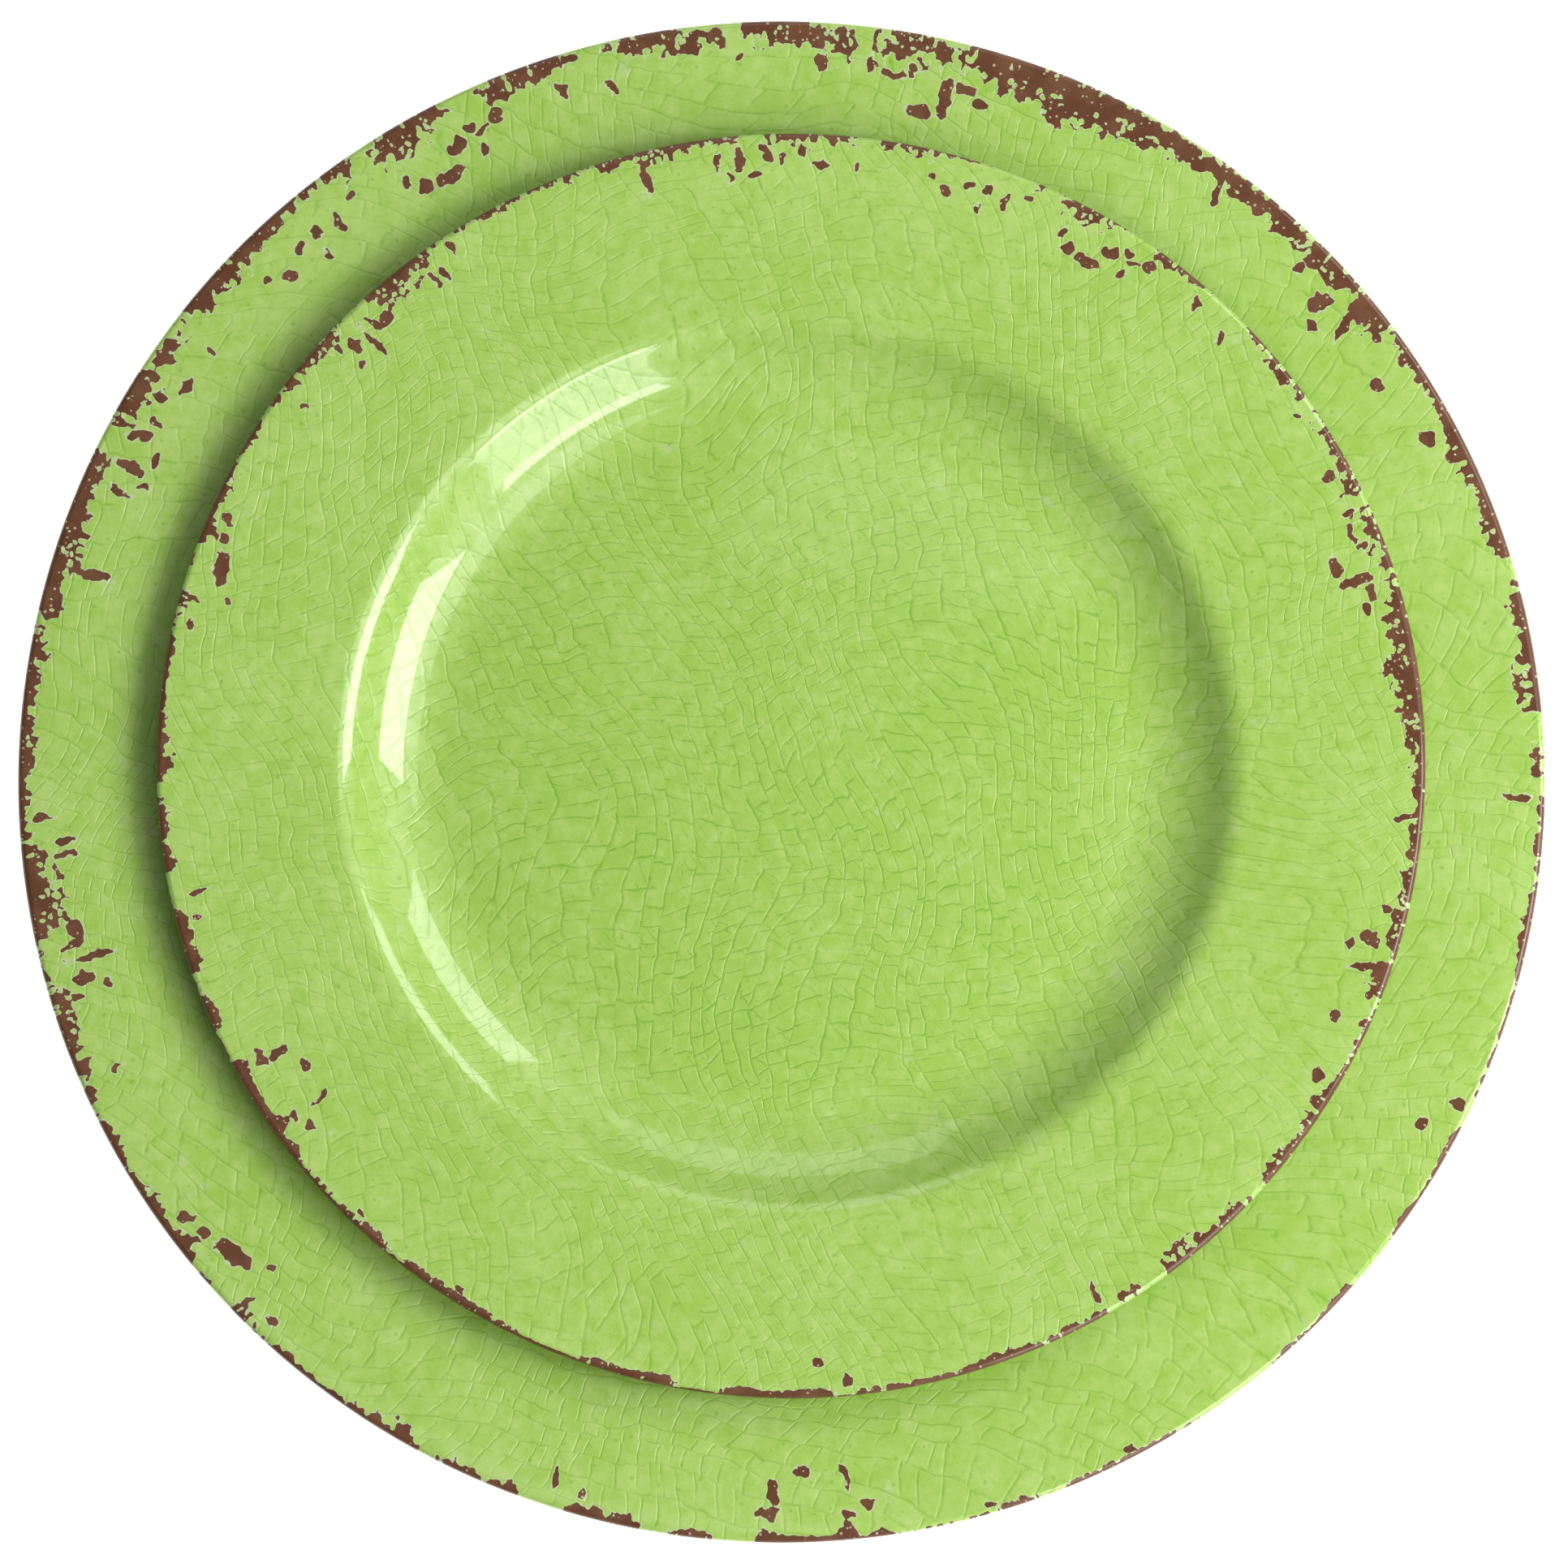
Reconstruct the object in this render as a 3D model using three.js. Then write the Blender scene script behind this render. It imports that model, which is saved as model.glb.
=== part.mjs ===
// Two round rimmed plates of glazed china, stacked as one place setting: a salad plate that
// stands in the well of a dinner plate. Each plate is one fired piece, turned from one outline.
// Units are millimetres and +Z is up. The origin is the centre of the dinner plate's foot, on
// the table. Both plates share one shape, and only their size, wall and foot differ.

import * as THREE from "three";

// The plates' own sizes.
const DINNER = { radius: 139.7, thickness: 3.8, footHeight: 2.5 }; // 11 in across
const SALAD = { radius: 115.8, thickness: 3.5, footHeight: 2.2 }; // 9 in nominal

// How the salad plate stands on the dinner plate.
const SALAD_SHIFT_X = 1.7; // set down a little off centre, inside its free play
const SALAD_SHIFT_Y = 2.2;
const RESTING_GAP = 0.3; // between the salad plate's foot and the floor it stands on

// The shape that both plates share. Lengths here are shares of the plate's radius.
const FLOOR_EDGE = 0.541; // where the flat floor of the well ends
const COVE_RADIUS = 0.205; // the hollow bend from the floor up into the wall
const SHOULDER_RADIUS = 0.075; // the round bend from the wall out into the rim
const FOOT_WIDTH = 0.042; // across the foot ring
const WALL_LENGTH = 2.4; // mm of straight wall between the two bends
const FOOT_DRAFT = 0.9; // mm that each side of the foot ring leans in towards the table
const WALL_SLOPE = THREE.MathUtils.degToRad(40);
const RIM_SLOPE = THREE.MathUtils.degToRad(8);

// Facets: around the plate, and along each bend in its outline, which gets twice this many.
const TURN_SEGMENTS = 96;
const BEND_DIVISIONS = 2;
const SHORTEST_EDGE = 0.01; // mm; closer outline points are one point

const GLAZE_GREEN = 0xaed46c;
const QUARTER_TURN = Math.PI / 2;

// The point at an angle on a circle.
function onCircle(centre, radius, angle) {
  return new THREE.Vector2(
    centre.x + radius * Math.cos(angle),
    centre.y + radius * Math.sin(angle),
  );
}

// A plate's outline in the half-plane of radius and height. It runs from the axis out along
// the underside, round the lip and back in along the top to the axis.
function plateOutline({ radius, thickness, footHeight }) {
  const floorEdge = FLOOR_EDGE * radius;
  const footInner = floorEdge - FOOT_WIDTH * radius;
  const floorTop = footHeight + thickness;
  const coveRadius = COVE_RADIUS * radius;
  const shoulderRadius = SHOULDER_RADIUS * radius;
  const lipRadius = thickness / 2;

  // The cove turns about a point above the floor's edge, and the shoulder about one below the rim.
  const coveCentre = new THREE.Vector2(floorEdge, floorTop + coveRadius);
  const coveEnd = onCircle(coveCentre, coveRadius, WALL_SLOPE - QUARTER_TURN);
  const wallEnd = onCircle(coveEnd, WALL_LENGTH, WALL_SLOPE);
  const shoulderCentre = onCircle(
    wallEnd,
    shoulderRadius,
    WALL_SLOPE - QUARTER_TURN,
  );

  // The lip is a half round on the rim's middle line, and its outermost point is the radius.
  const rimMiddle = onCircle(
    shoulderCentre,
    shoulderRadius - lipRadius,
    RIM_SLOPE + QUARTER_TURN,
  );
  const rimLength = (radius - lipRadius - rimMiddle.x) / Math.cos(RIM_SLOPE);
  const lipCentre = onCircle(rimMiddle, rimLength, RIM_SLOPE);

  const outline = new THREE.Path();
  outline.moveTo(0, footHeight);
  outline.lineTo(footInner, footHeight);
  outline.lineTo(footInner + FOOT_DRAFT, 0);
  outline.lineTo(floorEdge - FOOT_DRAFT, 0);
  outline.lineTo(floorEdge, footHeight);
  outline.absarc(
    coveCentre.x,
    coveCentre.y,
    coveRadius + thickness,
    -QUARTER_TURN,
    WALL_SLOPE - QUARTER_TURN,
    false,
  );
  outline.absarc(
    shoulderCentre.x,
    shoulderCentre.y,
    shoulderRadius - thickness,
    WALL_SLOPE + QUARTER_TURN,
    RIM_SLOPE + QUARTER_TURN,
    true,
  );
  outline.absarc(
    lipCentre.x,
    lipCentre.y,
    lipRadius,
    RIM_SLOPE - QUARTER_TURN,
    RIM_SLOPE + QUARTER_TURN,
    false,
  );
  outline.absarc(
    shoulderCentre.x,
    shoulderCentre.y,
    shoulderRadius,
    RIM_SLOPE + QUARTER_TURN,
    WALL_SLOPE + QUARTER_TURN,
    false,
  );
  outline.absarc(
    coveCentre.x,
    coveCentre.y,
    coveRadius,
    WALL_SLOPE - QUARTER_TURN,
    -QUARTER_TURN,
    true,
  );
  outline.lineTo(0, floorTop);

  const points = outline.getPoints(BEND_DIVISIONS);
  return points.filter(
    (point, i) => i === 0 || point.distanceTo(points[i - 1]) > SHORTEST_EDGE,
  );
}

// One plate, standing on its foot at z = 0 with its axis on Z.
function plate(name, size) {
  const geometry = new THREE.LatheGeometry(plateOutline(size), TURN_SEGMENTS);
  geometry.rotateX(QUARTER_TURN);
  const glaze = new THREE.MeshStandardMaterial({
    color: GLAZE_GREEN,
    roughness: 0.12,
    metalness: 0,
  });
  const mesh = new THREE.Mesh(geometry, glaze);
  mesh.name = name;
  return mesh;
}

const placeSetting = new THREE.Group();

const dinnerPlate = plate("dinner_plate", DINNER);
placeSetting.add(dinnerPlate);

const saladPlate = plate("salad_plate", SALAD);
saladPlate.position.set(
  SALAD_SHIFT_X,
  SALAD_SHIFT_Y,
  DINNER.footHeight + DINNER.thickness + RESTING_GAP,
);
placeSetting.add(saladPlate);

export default placeSetting;
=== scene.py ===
"""A dinner plate with a salad plate stacked on it, in green crackle glaze worn brown at the rims.

Each plate is one turned piece. Its outline is drawn in the half-plane of radius and height,
rounded where a potter would round it, and spun about the plate's own axis. Both plates carry
the same decoration, so one glaze is written once and then sized and turned for each plate.
"""

import math
from collections import namedtuple

import bmesh
import bpy
from bpy.props import FloatProperty, FloatVectorProperty, IntProperty, PointerProperty
from bpy.types import Operator, Panel, PropertyGroup
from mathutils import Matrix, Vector


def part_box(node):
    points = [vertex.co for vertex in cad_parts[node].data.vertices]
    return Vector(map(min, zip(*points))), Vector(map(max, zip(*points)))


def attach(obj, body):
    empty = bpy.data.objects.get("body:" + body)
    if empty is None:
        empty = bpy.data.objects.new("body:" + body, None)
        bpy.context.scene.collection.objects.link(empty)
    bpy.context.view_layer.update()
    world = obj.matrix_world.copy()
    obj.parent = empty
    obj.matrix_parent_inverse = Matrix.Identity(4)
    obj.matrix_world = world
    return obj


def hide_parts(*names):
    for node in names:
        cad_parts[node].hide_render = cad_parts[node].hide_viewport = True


bl_info = {
    "name": "Stacked Crackle Plates",
    "version": (1, 0, 0),
    "blender": (4, 5, 0),
    "location": "View3D > Sidebar > Plates",
    "description": "Makes a dinner plate and a salad plate in worn crackle glaze",
    "category": "Object",
}

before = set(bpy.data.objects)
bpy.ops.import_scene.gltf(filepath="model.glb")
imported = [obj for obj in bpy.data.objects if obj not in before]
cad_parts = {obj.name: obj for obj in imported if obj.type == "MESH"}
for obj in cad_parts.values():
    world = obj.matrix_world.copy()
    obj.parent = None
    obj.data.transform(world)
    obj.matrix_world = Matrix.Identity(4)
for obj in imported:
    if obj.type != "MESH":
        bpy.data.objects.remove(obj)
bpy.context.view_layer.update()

MM = 0.001
QUARTER_TURN = math.pi / 2
FULL_TURN = 2 * math.pi

# The decoration is drawn once, in millimetres on a plate of this radius.
PATTERN_RADIUS = 139.7

# The worn edge: azimuth in degrees, how far in it reaches in mm, how much of that is worn from
# 0 to 1 or more, and how worn the outermost millimetre is, where 0.5 is as worn as the rest.
EDGE_WEAR = (
    (0, 2.6, 0.80, 0.4),
    (2.8, 2.4, 0.75, 0.4),
    (3.6, 0.8, 0.0, 0.2),
    (4.3, 0.8, 0.0, 0.2),
    (5, 3.6, 0.90, 0.7),
    (7.7, 4.8, 0.92, 0.8),
    (10.2, 2.0, 0.75, 0.6),
    (13.1, 3.4, 0.82, 0.6),
    (14.7, 1.8, 0.70, 0.5),
    (15.4, 0.6, 0.0, 0.2),
    (16.2, 0.6, 0.0, 0.2),
    (17, 2.4, 0.95, 0.9),
    (19.3, 3.6, 0.90, 0.8),
    (21.5, 2.2, 0.92, 0.9),
    (25.6, 3.8, 0.95, 0.9),
    (29, 1.9, 0.88, 0.8),
    (34.6, 2.8, 0.90, 0.8),
    (36.3, 1.4, 0.50, 0.4),
    (37.2, 5.4, 1.0, 0.7),
    (39.2, 5.6, 1.0, 0.6),
    (40, 2.0, 0.80, 0.3),
    (42.3, 3.8, 0.95, 0.35),
    (50, 3.6, 1.10, 0.2),
    (58, 4.0, 1.15, 0.05),
    (63.5, 6.2, 1.10, 0.2),
    (67.5, 7.4, 1.15, 0.6),
    (69, 6.4, 1.10, 0.3),
    (71.5, 6.2, 1.15, 0.6),
    (74.3, 4.6, 0.95, 0.5),
    (76.5, 5.0, 0.72, 0.0),
    (80, 6.6, 0.75, 0.6),
    (82.7, 4.4, 0.60, 0.2),
    (83.4, 1.0, 0.0, 0.1),
    (84.4, 6.0, 0.75, 0.0),
    (86.8, 6.2, 0.75, 0.1),
    (88.8, 4.0, 0.90, 0.6),
    (92, 4.2, 0.92, 0.5),
    (93.3, 3.6, 0.80, 0.1),
    (93.9, 1.4, 0.0, 0.1),
    (94.6, 4.4, 0.85, 0.0),
    (97.2, 4.8, 0.85, 0.1),
    (100.5, 3.8, 0.92, 0.6),
    (103.8, 3.0, 0.70, 0.1),
    (104.6, 0.8, 0.0, 0.1),
    (106.4, 2.8, 0.55, 0.1),
    (108, 2.6, 1.0, 0.9),
    (110.6, 4.4, 0.85, 0.6),
    (113.6, 4.0, 0.80, 0.2),
    (114.8, 1.0, 0.0, 0.1),
    (116.4, 2.8, 0.45, 0.1),
    (118.6, 4.2, 1.0, 0.6),
    (121, 5.8, 0.90, 0.5),
    (123.4, 5.4, 0.80, 0.1),
    (124.2, 0.8, 0.0, 0.2),
    (126.2, 4.0, 0.95, 0.8),
    (127.8, 1.6, 0.50, 0.4),
    (129.6, 3.2, 0.72, 0.6),
    (131.4, 2.0, 0.60, 0.5),
    (132.4, 2.8, 1.05, 0.8),
    (135.6, 3.2, 1.05, 0.8),
    (137.3, 5.4, 0.80, 0.4),
    (139.2, 3.2, 0.95, 0.9),
    (141.4, 5.2, 0.75, 0.7),
    (142.5, 1.6, 0.30, 0.3),
    (144, 5.2, 0.56, 0.1),
    (147, 5.6, 0.60, 0.2),
    (149.4, 4.4, 0.95, 0.8),
    (152, 3.8, 0.80, 0.3),
    (152.8, 0.8, 0.10, 0.2),
    (154.6, 3.2, 0.90, 0.4),
    (157.4, 3.0, 0.95, 0.7),
    (160.5, 4.6, 0.97, 0.9),
    (163.3, 5.2, 0.78, 0.8),
    (165.2, 3.0, 1.0, 0.9),
    (167.3, 4.4, 0.95, 0.6),
    (168.2, 2.0, 0.30, 0.3),
    (170.6, 3.0, 0.97, 0.9),
    (174.6, 2.6, 0.75, 0.9),
    (178.5, 3.4, 0.85, 0.9),
    (183.2, 1.8, 0.65, 0.9),
    (185, 3.0, 0.72, 0.5),
    (186.8, 5.2, 0.88, 0.8),
    (189, 6.2, 0.76, 0.9),
    (191.6, 6.2, 0.82, 0.9),
    (193, 1.8, 0.40, 0.6),
    (195.6, 1.0, 0.30, 0.5),
    (197, 3.8, 0.85, 0.4),
    (198.8, 4.4, 0.80, 0.4),
    (200.8, 2.2, 0.95, 1.0),
    (203.2, 3.8, 0.80, 0.5),
    (204.2, 1.0, 0.20, 0.4),
    (205, 4.0, 0.80, 0.8),
    (205.8, 1.0, 0.20, 0.4),
    (209, 2.2, 0.90, 0.9),
    (211.4, 1.2, 0.50, 0.8),
    (214, 2.6, 0.80, 0.9),
    (217, 1.9, 0.85, 1.0),
    (218.6, 4.4, 0.76, 0.9),
    (220.2, 0.8, 0.20, 0.5),
    (221.6, 1.4, 0.60, 0.5),
    (222.5, 0.6, 0.0, 0.2),
    (225, 3.6, 0.92, 0.5),
    (226.8, 0.9, 0.40, 0.4),
    (229.6, 1.6, 0.52, 0.9),
    (233.4, 0.9, 0.50, 0.8),
    (237.4, 2.6, 0.62, 0.7),
    (241, 3.6, 0.72, 0.9),
    (242.5, 1.0, 0.20, 0.5),
    (244.4, 2.8, 0.58, 0.8),
    (247.4, 0.7, 0.30, 0.6),
    (249, 2.8, 0.85, 0.9),
    (250.3, 1.0, 0.20, 0.4),
    (253.2, 0.9, 0.30, 0.5),
    (254.2, 2.0, 0.95, 0.9),
    (258.4, 2.4, 0.90, 0.9),
    (260, 0.6, 0.10, 0.4),
    (262.6, 1.6, 0.62, 0.6),
    (264.6, 1.9, 0.70, 0.7),
    (265.6, 0.4, 0.0, 0.3),
    (267.6, 0.4, 0.0, 0.3),
    (268.4, 2.8, 0.97, 0.9),
    (270.4, 1.4, 0.80, 0.9),
    (273.8, 1.0, 0.85, 0.9),
    (275, 3.2, 1.0, 0.8),
    (276, 1.0, 0.50, 0.6),
    (277.6, 1.5, 0.80, 0.9),
    (278.6, 0.4, 0.15, 0.5),
    (285, 0.6, 0.25, 0.6),
    (288.4, 1.9, 0.66, 0.7),
    (290.6, 0.5, 0.20, 0.4),
    (293.4, 1.3, 0.60, 0.7),
    (300, 0.9, 0.42, 0.8),
    (304, 0.4, 0.10, 0.4),
    (309, 0.4, 0.10, 0.4),
    (311.6, 1.3, 0.62, 0.7),
    (314.6, 0.9, 0.50, 0.7),
    (317.4, 1.8, 0.78, 0.8),
    (319, 0.4, 0.0, 0.2),
    (321.8, 0.4, 0.0, 0.2),
    (324, 1.3, 0.80, 0.8),
    (327, 0.6, 0.45, 0.8),
    (331, 1.4, 0.75, 0.9),
    (333, 0.6, 0.30, 0.5),
    (339, 0.9, 0.50, 0.6),
    (343.6, 0.6, 0.40, 0.7),
    (346, 1.5, 0.95, 0.9),
    (350.4, 2.0, 0.85, 0.8),
    (352, 0.9, 0.50, 0.5),
    (354, 1.6, 0.95, 0.6),
    (358, 1.4, 0.95, 0.5),
    (359.2, 0.5, 0.20, 0.2),
)
EDGE_UNITS = (10, 1.2, 1)  # what 1 stands for in a ramp of each column

# Chips listed one by one further in: azimuth in degrees, depth from the edge, half their length
# along the rim, half their length inwards, all in mm, and how far they lean in degrees.
CHIPS = (
    (27.6, 5.8, 1.5, 1.3, 20),
    (33.3, 8.9, 1.3, 0.9, -10),
    (36.5, 4.0, 0.8, 0.6, 0),
    (38.7, 7.0, 0.8, 2.4, 20),
    (40.3, 11.6, 1.2, 0.8, 10),
    (41.4, 7.6, 1.8, 2.0, 0),
    (44.5, 6.1, 0.5, 0.9, 0),
    (53.2, 5.9, 0.7, 1.7, 20),
    (67.6, 7.8, 1.4, 1.6, 0),
    (73.6, 10.3, 1.3, 0.8, 0),
    (75.0, 8.4, 1.9, 0.6, -15),
    (76.5, 10.4, 1.2, 3.4, -12),
    (78.3, 14.1, 2.6, 1.0, 0),
    (79.5, 6.8, 0.8, 1.4, -30),
    (80.9, 8.4, 1.7, 0.5, -25),
    (82.8, 7.2, 0.7, 1.4, -15),
    (86.9, 7.0, 0.7, 1.5, -15),
    (93.3, 6.4, 0.6, 0.5, 0),
    (103.8, 8.7, 0.5, 0.9, 20),
    (107.8, 6.7, 1.0, 1.5, 30),
    (113.4, 6.7, 1.2, 1.2, -20),
    (114.8, 8.1, 1.2, 0.5, 20),
    (115.4, 11.6, 0.7, 0.9, 0),
    (115.7, 6.9, 0.8, 0.9, 0),
    (117.2, 8.9, 1.6, 1.1, 20),
    (118.8, 13.1, 2.6, 1.1, 5),
    (121.0, 12.5, 1.5, 1.2, -20),
    (122.2, 9.9, 0.5, 0.8, 0),
    (126.6, 6.5, 0.8, 0.5, -20),
    (128.6, 9.1, 0.7, 1.5, 0),
    (130.5, 7.7, 0.5, 0.8, 0),
    (130.9, 12.5, 0.5, 0.7, 0),
    (132.4, 8.0, 0.9, 0.5, -20),
    (134.4, 10.5, 0.7, 1.0, 35),
    (136.1, 8.3, 0.5, 0.5, 0),
    (143.3, 8.9, 0.5, 0.8, 0),
    (146.7, 9.0, 1.7, 0.6, -15),
    (148.6, 5.9, 1.0, 1.1, 0),
    (150.6, 7.6, 0.8, 1.0, 0),
    (152.0, 6.4, 0.9, 2.2, 30),
    (153.3, 10.8, 1.2, 0.6, -15),
    (154.7, 7.2, 1.0, 2.6, 0),
    (155.7, 11.0, 0.5, 0.8, 0),
    (156.8, 7.4, 0.6, 1.6, -30),
    (163.8, 8.2, 0.8, 2.8, 0),
    (183.4, 4.7, 0.6, 1.4, -15),
    (185.3, 7.9, 0.8, 1.3, 0),
    (186.4, 8.2, 0.5, 1.5, -10),
    (192.4, 7.6, 1.8, 1.4, 0),
    (193.6, 6.6, 0.7, 1.4, 20),
    (194.8, 9.6, 0.7, 3.2, -6),
    (196.3, 7.4, 1.2, 1.7, -25),
    (197.1, 11.0, 0.8, 0.5, 0),
    (197.6, 4.8, 0.6, 1.0, 0),
    (203.8, 7.4, 0.5, 0.9, 10),
    (216.8, 4.6, 1.4, 0.9, 35),
    (218.6, 5.4, 1.0, 0.9, 20),
    (221.2, 7.0, 3.6, 1.4, 10),
    (224.1, 10.1, 0.5, 0.6, 0),
    (227.1, 3.9, 0.9, 0.6, 10),
    (252.2, 5.8, 0.6, 1.9, 10),
    (254.5, 3.9, 0.5, 0.6, 0),
    (268.9, 5.3, 1.9, 1.1, 0),
    (269.3, 8.8, 0.9, 2.2, 10),
    (271.6, 12.8, 1.6, 0.9, 0),
    (275.1, 4.8, 1.4, 0.7, -15),
    (275.2, 11.6, 0.6, 1.9, 10),
    (276.8, 6.2, 0.9, 0.6, 0),
    (285.9, 1.9, 0.8, 0.6, 10),
    (297.3, 2.0, 1.0, 0.6, 10),
    (331.3, 6.9, 1.3, 0.8, 30),
    (333.9, 2.6, 1.2, 1.1, 0),
    (358.2, 4.8, 0.6, 1.9, -35),
)
CHIP_MARGIN = 0.9  # mm of clear glaze that a chip keeps on each side in its own layer

# Soft boxes round the plates: azimuth and angle from overhead, width and height in degrees as
# seen from the plates, how bright each is, and how many light distances away it is.
SOFT_BOXES = (
    ("near_right_high", 306, 46.5, 30, 7.5, 8.4, 1),
    ("near_right_low", 306, 62, 30, 25, 4.0, 1),
    ("right", 352.5, 48, 31, 25, 9.2, 1),
    ("right_inner", 337, 27, 72, 15, 2.1, 1),
    ("far_right", 39, 51, 27, 23, 4.7, 1),
    ("far", 89, 53, 43, 25, 1.25, 1),
    ("overhead_far", 80, 8.4, 26, 2.2, 0.8, 4),
)


# ---------------------------------------------------------------- settings


def length(name, description, metres):
    """A property that holds a length."""
    return FloatProperty(
        name=name,
        description=description,
        default=metres,
        min=0,
        precision=5,
        unit="LENGTH",
        subtype="DISTANCE",
    )


def angle(name, description, degrees):
    """A property that holds an angle, which is given in degrees."""
    return FloatProperty(
        name=name,
        description=description,
        default=math.radians(degrees),
        unit="ROTATION",
        subtype="ANGLE",
    )


def share(name, description, default):
    """A property that holds a share of something."""
    return FloatProperty(
        name=name, description=description, default=default, min=0, precision=4
    )


def colour(name, description, red, green, blue):
    """A property that holds a colour, in linear red, green and blue."""
    return FloatVectorProperty(
        name=name,
        description=description,
        default=(red, green, blue),
        min=0,
        max=1,
        size=3,
        subtype="COLOR",
    )


class PlateShape(PropertyGroup):
    """The shape that both plates share, mostly as shares of a plate's radius."""

    floor_edge: share("Floor edge", "Where the flat floor of the well ends", 0.541)
    cove: share("Cove", "Radius of the bend from the floor up into the wall", 0.205)
    shoulder: share("Shoulder", "Radius of the bend from the wall into the rim", 0.075)
    foot_width: share("Foot width", "Across the foot ring", 0.042)
    wall_length: length("Wall", "Straight wall between the two bends", 2.4 * MM)
    foot_draft: length("Foot draft", "How far the foot's sides lean in", 0.9 * MM)
    foot_round: length("Foot round", "How far the foot's corners are eased", 0.5 * MM)
    lip_share: share("Lip", "Thickness at the lip, as a share of the wall's", 0.56)
    wall_slope: angle("Wall slope", "Slope of the wall", 40)
    rim_slope: angle("Rim slope", "Slope of the rim", 8)
    segments: IntProperty(
        name="Segments", description="Facets round a plate", default=240, min=24
    )


class DinnerPlateSettings(PropertyGroup):
    """What sets the dinner plate apart."""

    thickness: length("Thickness", "Thickness of the wall", 3.8 * MM)
    foot_height: length("Foot height", "Height of the foot ring", 2.5 * MM)
    decor_turn: angle("Decoration turn", "How far the decoration is turned", 0)
    decor_scale: share("Decoration size", "Of the decoration, against the plate", 1.0)
    decor_right: length("Decoration right", "How far right of centre it sits", 0)
    decor_back: length("Decoration back", "How far behind the centre it sits", 0)


class SaladPlateSettings(PropertyGroup):
    """What sets the salad plate apart."""

    thickness: length("Thickness", "Thickness of the wall", 3.5 * MM)
    foot_height: length("Foot height", "Height of the foot ring", 2.2 * MM)
    decor_turn: angle("Decoration turn", "How far the decoration is turned", -59.25)
    decor_scale: share("Decoration size", "Of the decoration, against the plate", 1.0043)
    decor_right: length("Decoration right", "How far right of centre it sits", 0.9 * MM)
    decor_back: length("Decoration back", "How far behind the centre it sits", 1.2 * MM)


class GlazeSettings(PropertyGroup):
    """Colours and finish of the glaze and of the clay below it."""

    green: colour("Glaze", "The glaze itself", 0.37, 0.615, 0.09)
    pale: colour("Pale glaze", "Where the glaze is thin or cloudy", 0.485, 0.70, 0.18)
    deep: colour("Deep glaze", "Where the glaze has pooled", 0.24, 0.48, 0.045)
    halo: colour("Worn border", "Thin glaze round a worn patch", 0.58, 0.68, 0.40)
    clay: colour("Clay", "Clay where the glaze is worn off", 0.122, 0.036, 0.008)
    clay_light: colour("Light clay", "Paler clay in the same patches", 0.17, 0.066, 0.024)
    speck: colour("Specks", "Small pale specks in the clay", 0.60, 0.48, 0.32)
    foot_clay: colour("Foot", "Bare clay under the foot", 0.30, 0.16, 0.09)
    glaze_roughness: share("Glaze roughness", "Below the clear coat", 0.32)
    clay_roughness: share("Clay roughness", "Of the worn patches", 0.42)
    foot_roughness: share("Foot roughness", "Of the bare foot", 0.8)
    coat_ior: share("Coat IOR", "How strongly the glaze mirrors", 1.5)
    relief: share("Crackle relief", "How strongly the crackle stands out", 1.0)


class StudioSettings(PropertyGroup):
    """The camera, the lights and the floor."""

    elevation: angle("Elevation", "How high the camera looks down from", 85.2)
    distance: length("Distance", "From the camera to the plates", 1.2)
    view_width: length("View width", "Width of the view at the plates' rims", 0.2866)
    aim_x: length("Aim right", "How far right of centre the camera aims", 0.42 * MM)
    aim_y: length("Aim front", "How far in front of centre it aims", 1.8 * MM)
    light_distance: length("Light distance", "From the plates to a near soft box", 0.8)
    brightness: share("Brightness", "Of every soft box together", 0.98)
    ambient: share("Ambient", "Of the pale room", 0.19)
    floor_size: length("Floor", "Radius of the floor", 4.0)


class PlateSettings(PropertyGroup):
    """Everything that a user can set."""

    shape: PointerProperty(type=PlateShape)
    dinner: PointerProperty(type=DinnerPlateSettings)
    salad: PointerProperty(type=SaladPlateSettings)
    glaze: PointerProperty(type=GlazeSettings)
    studio: PointerProperty(type=StudioSettings)


# ---------------------------------------------------------------- plate meshes

# How finely each stretch of the outline is divided.
COVE_STEPS = 24
SHOULDER_STEPS = 10
LIP_STEPS = 18
LONGEST_EDGE = 5 * MM
CORNER_SEGMENTS = 5
MERGE_DISTANCE = 1e-7
WARP_HEIGHT = 0.12 * MM  # how far firing warps a plate out of true
WARP_SIZE = 55 * MM

Place = namedtuple("Place", "centre radius")


def place_of(node):
    """Where a plate stands: the point under its centre, and its radius."""
    low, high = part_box(node)
    middle = (low + high) / 2
    return Place(Vector((middle.x, middle.y, low.z)), (high.x - low.x) / 2)


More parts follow.
